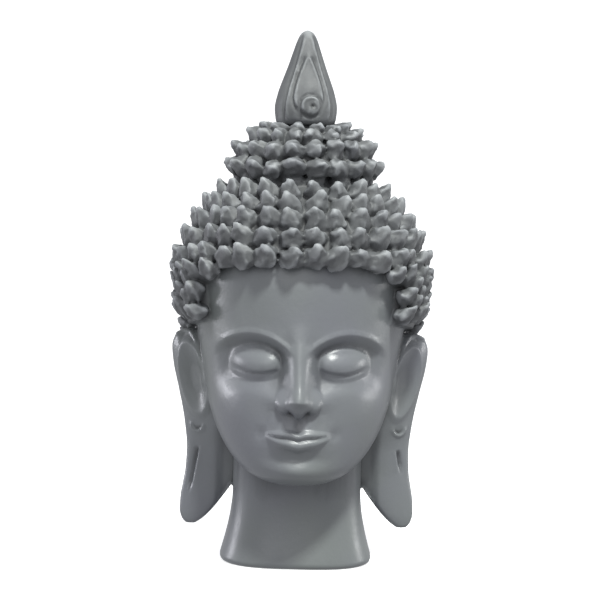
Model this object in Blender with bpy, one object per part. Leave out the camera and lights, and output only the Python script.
"""Head of the Buddha, cast in one piece: neck, face, long-lobed ears, rows of curls, topknot and flame.

Metres, +Z up. The face looks along -Y. The origin is the middle of the flat underside of the neck.
The head, the neck, the ears, the hair and the flame are modelled apart and then joined into one solid.
"""

import math

import bmesh
import bpy
from mathutils import Vector

# Heights above the underside
statue_height = 0.300
chin_height = 0.047
hairline_height = 0.1657
crown_height = 0.222

# The head without its hair
head_half_width = 0.0620
head_front_depth = 0.0635
head_back_depth = 0.0680

# The neck, which widens down to the underside
neck_base_half_width = 0.0435
neck_waist_half_width = 0.0362
neck_waist_height = 0.040
neck_front_share = 0.94
neck_squareness = 3.2
base_edge_radius = 0.0035

# The hair: rows of pointed curls on a thin cap
hair_lift = 0.0052
curl_row_pitch = 0.0104
curl_column_count = 34
curl_height = 0.0088
curl_tip_rise = 0.0030
curl_shoulder_share = 0.52
curl_shoulder_scale = 0.66
groove_share = 0.12
rows_below_hairline = 8
rows_above_hairline = 6
curl_pitch_on_dome = 0.0118

# The topknot, above the waist where the hair is gathered
topknot_waist_height = 0.2160
topknot_base_height = 0.2195
topknot_top_height = 0.2455
topknot_radius = 0.0388
topknot_curl_lean = 0.30

# The flame, whose foot is sunk in the topknot
flame_foot_depth = 0.0015
flame_base_height = topknot_top_height - flame_foot_depth
flame_half_width = 0.0175
flame_depth_share = 0.90
flame_ridge_height = 0.0010
flame_turn = math.radians(10)
scroll_radius = 0.0048
scroll_rise = 0.0115
scroll_wire_radius = 0.0011
scroll_turns = 1.4

# The ears, from the top of the rim to the end of the lobe
ear_top_height = 0.1285
ear_bottom_height = 0.0175
ears_half_width = 0.0735
ear_thickness = 0.0100
ear_bowl_depth = 0.0042
lobe_slit_depth = 0.0022
lobe_slit_half_width = 0.0020

# How finely each form is faceted
head_columns, head_rows = 42, 44
head_crowding = 0.70
neck_columns = 32
ear_columns, ear_rows = 12, 18
flame_columns, flame_rows = 26, 10

# The stone-grey casting
casting_colour = (0.135, 0.140, 0.148, 1.0)
casting_roughness = 0.48

# The face is laid out in parts, 120 of them from the chin to the hairline, with the brow,
# the nose and the chin a third of the way from each other and the face five eyes wide.
FACE_PARTS = 120.0
THIRD = FACE_PARTS / 3
BROW_LINE = 2 * THIRD
NOSE_LINE = THIRD
MOUTH_LINE = THIRD * 2 / 3
EYE_LINE = BROW_LINE - THIRD / 3
face_part = (hairline_height - chin_height) / FACE_PARTS

# The head's outline: share of the way from chin to crown, then shares of the half width,
# the front depth and the back depth. A back share below zero lies in front of the axis.
HEAD_SECTIONS = (
    (0.000, 0.000, 0.720, -0.672),
    (0.004, 0.170, 0.850, -0.560),
    (0.014, 0.300, 0.925, -0.400),
    (0.034, 0.430, 0.968, -0.200),
    (0.066, 0.550, 0.990, 0.060),
    (0.110, 0.655, 0.992, 0.320),
    (0.166, 0.745, 0.985, 0.530),
    (0.246, 0.822, 0.980, 0.700),
    (0.331, 0.872, 0.980, 0.850),
    (0.417, 0.915, 0.988, 0.940),
    (0.503, 0.960, 0.998, 0.985),
    (0.589, 0.990, 1.000, 1.000),
    (0.674, 1.000, 0.972, 0.985),
    (0.760, 0.912, 0.880, 0.895),
    (0.846, 0.748, 0.710, 0.735),
    (0.914, 0.535, 0.505, 0.530),
    (0.960, 0.365, 0.335, 0.355),
    (0.990, 0.180, 0.160, 0.165),
    (1.000, 0.000, 0.000, 0.000),
)

# Where the rows of facets lie: share of the rows, then share of the way from chin to crown
HEAD_ROW_SPREAD = (
    (0.00, 0.000),
    (0.06, 0.014),
    (0.40, 0.240),
    (0.74, 0.470),
    (0.86, 0.690),
    (1.00, 1.000),
)

# The topknot's rows of curls: share of its height, share of its radius, number of curls
TOPKNOT_ROWS = (
    (0.00, 1.000, 20),
    (0.40, 0.946, 17),
    (0.77, 0.708, 12),
    (1.00, 0.405, 0),
)

# The ear's outline, from its top to its lobe: share of its length, its inner edge as a share of
# the head's half width, its outer edge as a share of the half width over the ears, the distances
# back of both edges as shares of the same, and the share of its thickness.
EAR_SECTIONS = (
    (0.000, 0.980, 0.900, 0.050, 0.080, 0.40),
    (0.030, 0.895, 0.965, -0.040, 0.125, 0.66),
    (0.090, 0.820, 0.992, -0.100, 0.160, 0.90),
    (0.180, 0.790, 0.976, -0.125, 0.175, 1.00),
    (0.320, 0.740, 0.925, -0.135, 0.150, 1.00),
    (0.470, 0.650, 0.880, -0.125, 0.115, 0.95),
    (0.610, 0.545, 0.860, -0.085, 0.090, 0.92),
    (0.720, 0.535, 0.868, -0.050, 0.080, 0.92),
    (0.790, 0.600, 0.884, -0.030, 0.075, 0.92),
    (0.870, 0.700, 0.902, -0.015, 0.070, 0.90),
    (0.930, 0.785, 0.904, -0.005, 0.060, 0.84),
    (0.975, 0.865, 0.885, 0.005, 0.040, 0.66),
    (1.000, 0.930, 0.850, -0.005, 0.020, 0.40),
)

# The flame's outline: share of its height, then share of its half width
FLAME_SECTIONS = (
    (0.00, 0.00),
    (0.01, 0.80),
    (0.08, 0.96),
    (0.20, 1.00),
    (0.35, 0.91),
    (0.50, 0.75),
    (0.64, 0.59),
    (0.77, 0.455),
    (0.91, 0.300),
    (0.97, 0.170),
    (1.00, 0.00),
)


def through(sections, place, value):
    """A smooth curve through the sections, in the given column, without overshoot between them."""
    stops = [section[0] for section in sections]
    if place <= stops[0]:
        return sections[0][value]
    if place >= stops[-1]:
        return sections[-1][value]
    last = max(k for k in range(len(stops) - 1) if stops[k] <= place)

    def steepness(k):
        if k in (0, len(stops) - 1):
            return None
        before = (sections[k][value] - sections[k - 1][value]) / (stops[k] - stops[k - 1])
        after = (sections[k + 1][value] - sections[k][value]) / (stops[k + 1] - stops[k])
        if before * after <= 0:
            return 0.0
        return 2 * before * after / (before + after)

    span = stops[last + 1] - stops[last]
    start, end = sections[last][value], sections[last + 1][value]
    chord = (end - start) / span
    leaving, arriving = steepness(last), steepness(last + 1)
    leaving = 1.5 * chord - 0.5 * arriving if leaving is None else leaving
    arriving = 1.5 * chord - 0.5 * leaving if arriving is None else arriving
    t = (place - stops[last]) / span
    return (
        start * (1 + 2 * t) * (1 - t) ** 2
        + leaving * span * t * (1 - t) ** 2
        + end * t * t * (3 - 2 * t)
        - arriving * span * t * t * (1 - t)
    )


def eased(value, start, end):
    """0 at the start, 1 at the end and smooth between."""
    t = min(1.0, max(0.0, (value - start) / (end - start)))
    return t * t * (3 - 2 * t)


def hill(x, z, at_x, at_z, wide, tall):
    """A round hill, 1 at its middle."""
    return math.exp(-(((x - at_x) / wide) ** 2) - ((z - at_z) / tall) ** 2)


def blend(a, b, width):
    """The higher of two surfaces, with the corner between them filled over this width."""
    near = max(0.0, width - abs(a - b)) / width
    return max(a, b) + near * near * width / 4


def dome(x, z, at_x, at_z, wide, tall, base, height):
    """Half of an egg lying in the face: its height there, far below the face outside it."""
    inside = 1 - ((x - at_x) / wide) ** 2 - ((z - at_z) / tall) ** 2
    return base + height * (math.sqrt(inside) if inside > 0 else 3 * inside)


def nose(x, z):
    """The bridge from between the brows, the round tip and the wings, in face parts."""
    root, tip = BROW_LINE - 2, NOSE_LINE + 6.5
    down = (root - z) / (root - tip)
    height = 2.2 + 8.8 * min(1.0, max(0.0, down)) ** 1.15
    height *= eased(z, root + 12, root - 6) * eased(z, NOSE_LINE - 0.5, NOSE_LINE + 4.5)
    half = 5.0 + 2.2 * min(1.0, max(0.0, down)) ** 2
    bridge = height * math.exp(-(abs(x / half) ** 2.2)) + 0.16 * height * math.exp(-((x / 15) ** 2))
    form = blend(bridge, dome(x, z, 0, NOSE_LINE + 5.4, 6.6, 5.9, 5.6, 7.4), 2.5)
    form = blend(form, dome(x, z, 8.2, NOSE_LINE + 4.3, 4.6, 4.9, 1.0, 6.2), 2.2)
    return max(0.0, form)


def lash_line(along):
    """Height of the closed lid's edge, from -1 at the inner corner to 1 at the outer corner."""
    return EYE_LINE - 5.4 + 3.2 * along * along + 0.9 * along


def eye(x, z):
    """The hollow under the arched brow and the lowered lid that fills it, in face parts."""
    middle, half = 24.0, 12.8
    brow = BROW_LINE + 1.5 - 11 * ((x - 27) / 24) ** 2
    under = eased(brow - z, -1.2, 6.5)
    hollow = under * (1 - eased(brow - z, 16, 33)) * eased(x, 3.5, 12) * (1 - eased(x, 36, 50))
    ridge = 0.9 * math.exp(-(((z - brow - 0.6) / 2.2) ** 2)) * eased(x, 1, 7) * (1 - eased(x, 36, 48))
    form = -5.0 * hollow + ridge
    ball = dome(x, z, middle, EYE_LINE - 1.2, 15.2, 11.0, -7.0, 6.9)
    form = blend(form, ball, 2.0)
    along = (x - middle) / half
    if abs(along) < 1:
        lid = (1 - along * along) ** 0.5
        above = z - lash_line(along)
        form += 1.5 * lid * eased(above, -0.8, 0.8) * (1 - eased(above, 3.5, 11))
        form += 0.7 * lid * math.exp(-(((above + 3.4) / 1.6) ** 2))
    return form


def mouth_line(x):
    """Height of the line between the lips, bowed in the middle and turned up a little at its ends."""
    return MOUTH_LINE - 0.9 * math.exp(-((x / 3.4) ** 2)) + 1.0 * (x / 18) ** 2 + 1.4 * (x / 18) ** 4


def lip(up, peak):
    """Height across a lip, from the line between the lips to its outer edge."""
    if up <= 0 or up >= 1:
        return 0.0
    return max(0.0, 1 - ((up - peak) / ((1 - peak) if up > peak else 1.6 * peak)) ** 2) ** 1.2


def mouth(x, z):
    """The lips, the hollow under them and the chin, in face parts."""
    half = 18.0
    reach = max(0.0, 1 - (x / half) ** 2)
    line = mouth_line(x)
    form = 3.6 * hill(x, z, 0, MOUTH_LINE + 2, 23, 16)
    upper = 5.2 * reach**0.75
    lower = 6.4 * reach**0.6
    if reach > 0.01:
        form += 2.3 * reach**0.4 * lip((z - line) / upper, 0.30)
        form += 2.9 * reach**0.5 * lip((line - z) / lower, 0.42)
    form -= 1.7 * hill(x, z, 19.6, MOUTH_LINE + 2.6, 3.0, 3.0)
    form -= 2.0 * hill(x, z, 0, MOUTH_LINE - 11.0, 13, 4.0)
    form += 3.6 * hill(x, z, 0, 8.0, 13, 8.5)
    return form


def face_relief(x, z):
    """How far the face stands forward of the plain head, in metres."""
    across, up = abs(x) / face_part, (z - chin_height) / face_part
    cheek = 2.6 * hill(across, up, 31, 44, 15, 17) - 0.9 * hill(across, up, 17, 37, 5, 9)
    return face_part * (nose(across, up) + eye(across, up) + mouth(across, up) + cheek)


def head_ring(z, lift=0.0):
    """Half width, half depth and the middle's distance back of the head at a height."""
    share = (z - chin_height) / (crown_height - chin_height)
    width = head_half_width * through(HEAD_SECTIONS, share, 1) + lift
    front = head_front_depth * through(HEAD_SECTIONS, share, 2) + lift
    back = head_back_depth * through(HEAD_SECTIONS, share, 3) + lift
    return width, (front + back) / 2, (back - front) / 2


def on_ring(ring, angle, z):
    """The point of a ring at an angle from the front, towards +X."""
    width, depth, middle = ring
    return Vector((width * math.sin(angle), middle - depth * math.cos(angle), z))


def wrapped(name, columns, rows, place, smoothing=0):
    """A closed shape made from a sphere, by sending each longitude and share of the way up to its place."""
    bm = bmesh.new()
    bmesh.ops.create_uvsphere(bm, u_segments=columns, v_segments=rows, radius=1.0)
    for vert in bm.verts:
        up = math.acos(max(-1.0, min(1.0, -vert.co.z))) / math.pi
        vert.co = place(math.atan2(vert.co.x, -vert.co.y), up)
    for _ in range(smoothing):
        bmesh.ops.smooth_vert(bm, verts=bm.verts, factor=0.25, use_axis_y=True)
    bmesh.ops.recalc_face_normals(bm, faces=bm.faces)
    return mesh_object(name, bm)


def mesh_object(name, bm):
    """Turns a bmesh into a named object in the scene."""
    mesh = bpy.data.meshes.new(name)
    bm.to_mesh(mesh)
    bm.free()
    obj = bpy.data.objects.new(name, mesh)
    bpy.context.scene.collection.objects.link(obj)
    return obj


def make_head():
    """The skull, the face and the jaw, with columns and rows closest together on the face."""

    def place(longitude, up):
        angle = longitude - head_crowding * math.sin(longitude)
        z = chin_height + through(HEAD_ROW_SPREAD, up, 1) * (crown_height - chin_height)
        point = on_ring(head_ring(z), angle, z)
        facing = eased(math.cos(angle), 0.15, 0.50) * eased(up, 0.0, 0.06)
        point.y -= facing * face_relief(point.x, z)
        return point

    return wrapped("head_form", head_columns, head_rows, place, smoothing=2)


def neck_ring(z):
    """Half width of the neck at a height, with the rounded edge round the underside."""
    waist = min(1.0, z / neck_waist_height)
    width = neck_waist_half_width
    width += (neck_base_half_width - neck_waist_half_width) * (1 - math.sin(waist * math.pi / 2))
    if z < base_edge_radius:
        width -= base_edge_radius - math.sqrt(base_edge_radius**2 - (base_edge_radius - z) ** 2)
    return width


def make_neck():
    """A disc the size of the underside, extruded up through the neck and into the head."""
    bm = bmesh.new()
    bmesh.ops.create_circle(bm, cap_ends=True, segments=neck_columns, radius=1.0)
    top_height = chin_height + 0.7 * (hairline_height - chin_height) / 3
    heights = [base_edge_radius * share for share in (0.0, 0.25, 0.6, 1.0)]
    heights += [neck_waist_height * share for share in (0.25, 0.45, 0.7, 1.0)] + [top_height]
    bmesh.ops.scale(bm, vec=(1.0, neck_front_share, 1.0), verts=bm.verts)
    bm.faces.ensure_lookup_table()
    cap = bm.faces[0]
    for index, z in enumerate(heights):
        if index:
            cap = bmesh.ops.extrude_discrete_faces(bm, faces=[cap])["faces"][0]
        for vert in cap.verts:
            vert.co = neck_point(math.atan2(vert.co.x, -vert.co.y / neck_front_share), z)
    bmesh.ops.contextual_create(bm, geom=[edge for edge in bm.edges if edge.is_boundary])
    bmesh.ops.recalc_face_normals(bm, faces=bm.faces)
    return mesh_object("neck_form", bm)


def neck_point(angle, z):
    """A point of the neck, whose section is a circle drawn out towards a square."""
    sine, cosine = math.sin(angle), math.cos(angle)
    reach = (abs(sine) ** neck_squareness + abs(cosine) ** neck_squareness) ** (-1 / neck_squareness)
    width = neck_ring(z)
    return Vector((width * sine * reach, -width * neck_front_share * cosine * reach, z))


def climb(z, distance):
    """The height reached by going this far up or down the side of the hair."""
    step = math.copysign(0.0002, distance)
    gone = 0.0
    here = head_ring(z, hair_lift)[0]
    while gone < abs(distance):
        ahead = head_ring(z + step, hair_lift)[0]
        gone += math.hypot(step, ahead - here)
        here, z = ahead, z + step
    return z


def hair_rows():
    """Each row of curls, from the nape up: its lower ring, its upper ring and its number of curls.

    A ring is a height and the half width, half depth and middle there.
    """
    rows = []
    edges = [hairline_height]
    for _ in range(rows_below_hairline):
        edges.insert(0, climb(edges[0], -curl_row_pitch))
    for _ in range(rows_above_hairline - 1):
        edges.append(climb(edges[-1], curl_row_pitch))
    edges.append(topknot_waist_height)
    for low, high in zip(edges, edges[1:]):
        low_ring, high_ring = head_ring(low, hair_lift), head_ring(high, hair_lift)
        girth = math.pi * (low_ring[0] + high_ring[0])
        count = min(curl_column_count, 2 * round(girth / curl_pitch_on_dome / 2))
        if high <= hairline_height + curl_row_pitch:
            count = curl_column_count
        rows.append(((low, low_ring), (high, high_ring), count))
    rims = [topknot_rim(height_share, radius_share) for height_share, radius_share, _ in TOPKNOT_ROWS]
    for low_rim, high_rim, (_, _, count) in zip(rims, rims[1:], TOPKNOT_ROWS):
        rows.append((low_rim, high_rim, count))
    return rows


def topknot_rim(height_share, radius_share):
    """The height and the ring of the topknot at these shares of its height and radius."""
    z = topknot_base_height + height_share * (topknot_top_height - topknot_base_height)
    return z, (topknot_radius * radius_share, topknot_radius * radius_share, 0.0)


def loop_of(bm, height_and_ring, count):
    """A closed loop of edges round the head, with a corner at the middle of the front."""
    z, ring = height_and_ring
    verts = [bm.verts.new(on_ring(ring, 2 * math.pi * k / count, z)) for k in range(count)]
    return [bm.edges.new((verts[k - 1], verts[k])) for k in range(count)]


def between(low, high, share):
    """The height and the ring part of the way up a row."""
    ring = [a + (b - a) * share for a, b in zip(low[1], high[1])]
    return low[0] + (high[0] - low[0]) * share, ring


def face_opening(high):
    """How many columns to each side of the middle are left bare below a row's upper edge."""
    if high > hairline_height + curl_row_pitch / 2:
        return 0
    if high > ear_top_height + curl_row_pitch:
        return 4
    if high > ear_top_height - curl_row_pitch / 4:
        return 5
    return 9


def make_hair():
    """The cap of hair as one closed solid: bands of cells, each raised to a pointed curl.

    Below, the cap closes on a point inside the head, which the head's own solid covers.
    """
    bm = bmesh.new()
    cells, opening = [], []
    rims, rim_count, rim_high = [], 0, 0.0
    for low, high, count in hair_rows():
        if count != rim_count:
            edges = loop_of(bm, between(low, high, groove_share), count)
            if rims:
                groove = bmesh.ops.bridge_loops(bm, edges=rims + edges)["faces"]
                opening += [face for face in groove if bare(face, rim_high)]
            rims = edges
        edges = loop_of(bm, high, count)
        band = bmesh.ops.bridge_loops(bm, edges=rims + edges)["faces"]
        opening += [face for face in band if bare(face, high[0])]
        cells += [face for face in band if not bare(face, high[0])]
        rims, rim_count, rim_high = edges, count, high[0]
    bmesh.ops.contextual_create(bm, geom=rims)
    bmesh.ops.delete(bm, geom=opening, context="FACES")
    bmesh.ops.recalc_face_normals(bm, faces=bm.faces)
    if min(bm.faces, key=lambda face: face.calc_center_median().y).normal.y > 0:
        bmesh.ops.reverse_faces(bm, faces=bm.faces)
    close_on_point(bm, Vector((0.0, 0.0, (chin_height + crown_height) / 2)))
    raise_curls(bm, cells)
    return mesh_object("hair_form", bm)


def bare(face, high):
    """Whether a face of the hair lies in the opening for the face and the ears."""
    middle = face.calc_center_median()
    columns = face_opening(high)
    ring = head_ring(middle.z, hair_lift)
    angle = math.atan2(middle.x / ring[0], (ring[2] - middle.y) / ring[1])
    return abs(angle) < columns * 2 * math.pi / curl_column_count


def close_on_point(bm, point):
    """Runs every open edge in to one point."""
    rim = [edge for edge in bm.edges if edge.is_boundary]
    made = bmesh.ops.extrude_edge_only(bm, edges=rim)["geom"]
    inner = [item for item in made if isinstance(item, bmesh.types.BMVert)]
    bmesh.ops.pointmerge(bm, verts=inner, merge_co=point)


def raise_curls(bm, cells):
    """Draws each cell out to a shoulder and pokes its top out to a tip that rises a little."""
    made = bmesh.ops.extrude_discrete_faces(bm, faces=cells)["faces"]
    middles = [face.calc_center_median() for face in made]
    outwards = []
    for face, middle in zip(made, middles):
        outward = face.normal.copy()
        if middle.z > topknot_waist_height:
            outward.z *= topknot_curl_lean
        outwards.append(outward.normalized() * curl_height + Vector((0.0, 0.0, curl_tip_rise)))
        for vert in face.verts:
            vert.co = middle + (vert.co - middle) * curl_shoulder_scale
            vert.co += outwards[-1] * curl_shoulder_share
    tips = bmesh.ops.poke(bm, faces=made)["verts"]
    for tip, middle, outward in zip(tips, middles, outwards):
        tip.co = middle + outward


def make_flame():
    """The bud-shaped flame, with the ridges of its nested leaves running up to the tip."""
    height = statue_height - flame_base_height

    def place(longitude, up):
        share = up if up > 0.08 else up * up / 0.08
        across = flame_half_width * through(FLAME_SECTIONS, share, 1)
        across += flame_ridge_height * leaf_edges(longitude, share)
        z = flame_base_height + share * height
        return Vector((across * math.sin(longitude), -across * flame_depth_share * math.cos(longitude), z))

    return wrapped("flame_form", flame_columns, flame_rows, place)


def leaf_edges(longitude, share):
    """1 along the edges of the nested leaves on each side of the flame, falling to 0 beside them."""
    turned = (longitude - flame_turn) % math.pi
    angle = min(turned, math.pi - turned)
    edges = 0.0
    for widest, apex in ((34, 0.72), (68, 1.05)):
        edge = math.radians(widest) * max(0.0, 1 - (share / apex) ** 2)
        edges = max(edges, math.exp(-(((angle - edge) / math.radians(8)) ** 2)) * (share < apex))
    return edges * eased(share, 0.02, 0.12) * (1 - eased(share, 0.85, 1.0))


def make_scroll():
    """The raised spiral on the front of the flame, sunk to half its thickness."""
    curve = bpy.data.curves.new("scroll_line", "CURVE")
    curve.dimensions = "3D"
    curve.bevel_depth = scroll_wire_radius
    curve.bevel_resolution = 1
    curve.use_fill_caps = True
    steps = 13
    spline = curve.splines.new("POLY")
    spline.points.add(steps - 1)
    height = statue_height - flame_base_height
    for k, point in enumerate(spline.points):
        turn = k / (steps - 1)
        angle = math.pi * 0.75 - turn * scroll_turns * 2 * math.pi
        radius = scroll_radius * (1 - 0.72 * turn)
        x, rise = radius * math.cos(angle), scroll_rise + radius * math.sin(angle)
        across = flame_half_width * through(FLAME_SECTIONS, rise / height, 1)
        y = -flame_depth_share * math.sqrt(across**2 - x**2)
        point.co = (x, y, flame_base_height + rise, 1.0)
    guide = bpy.data.objects.new("scroll_guide", curve)
    bpy.context.scene.collection.objects.link(guide)
    mesh = bpy.data.meshes.new_from_object(guide)
    bpy.data.objects.remove(guide)
    bm = bmesh.new()
    bm.from_mesh(mesh)
    bmesh.ops.remove_doubles(bm, verts=bm.verts, dist=1e-5)
    bmesh.ops.recalc_face_normals(bm, faces=bm.faces)
    return mesh_object("scroll_form", bm)


def ear_relief(across, down):
    """How far the ear's face stands forward of its plain slab: the rim, the bowl and the lobe's slit."""
    bowl = 1 - ((across - 0.44) / 0.36) ** 2 - ((down - 0.235) / 0.170) ** 2
    form = -ear_bowl_depth * eased(bowl, -0.05, 0.55)
    lobe_width = ears_half_width - neck_base_half_width
    slit = math.exp(-(((across - 0.52) * lobe_width / lobe_slit_half_width) ** 2))
    slit *= eased(down, 0.55, 0.60) * (1 - eased(down, 0.76, 0.84))
    return form - lobe_slit_depth * slit


def make_ear(side):
    """One ear: a long slab, rounded all round, hollowed at the bowl. The side is 1 for +X."""
    length = ear_top_height - ear_bottom_height

    def place(longitude, up):
        down = 1 - up
        share = 0.5 - 0.5 * math.cos(down * math.pi) if min(up, down) < 0.16 else down
        share = 0.5 * share + 0.5 * down
        z = ear_top_height - share * length
        inner, outer, inner_back, outer_back, thick = (
            through(EAR_SECTIONS, share, value) for value in range(1, 6)
        )
        start = Vector((inner * head_half_width, inner_back * ears_half_width, z))
        end = Vector((outer * ears_half_width, outer_back * ears_half_width, z))
        run = end - start
        forward = Vector((run.y, -run.x, 0.0)).normalized()
        across = 0.5 + 0.5 * math.sin(longitude)
        round_edge = math.cos(longitude)
        bulge = math.copysign(abs(round_edge) ** 0.6, round_edge) * thick * ear_thickness / 2
        if round_edge > 0:
            bulge += ear_relief(across, share) * eased(round_edge, 0.05, 0.4)
        point = start + run * across + forward * bulge
        point.x *= side
        return point

    return wrapped("ear_form_" + ("right" if side > 0 else "left"), ear_columns, ear_rows, place)


def casting_material():
    """Plain grey cast resin with a low sheen."""
    material = bpy.data.materials.new("grey_casting")
    material.use_nodes = True
    shader = material.node_tree.nodes["Principled BSDF"]
    shader.inputs["Base Color"].default_value = casting_colour
    shader.inputs["Roughness"].default_value = casting_roughness
    return material


def join(body, forms):
    """Joins each form to the body by a union, and leaves the form as a hidden guide."""
    for form in forms:
        union = body.modifiers.new(form.name, "BOOLEAN")
        union.operation = "UNION"
        union.object = form
        form.hide_render = True
        form.display_type = "WIRE"


def main():
    for obj in list(bpy.data.objects):
        bpy.data.objects.remove(obj)
    body = make_head()
    forms = [make_neck(), make_hair(), make_flame(), make_scroll(), make_ear(-1), make_ear(1)]
    join(body, forms)
    body.name = "buddha_head"
    body.data.materials.append(casting_material())
    body.data.shade_smooth()
    body.data.set_sharp_from_angle(angle=math.radians(40))


main()
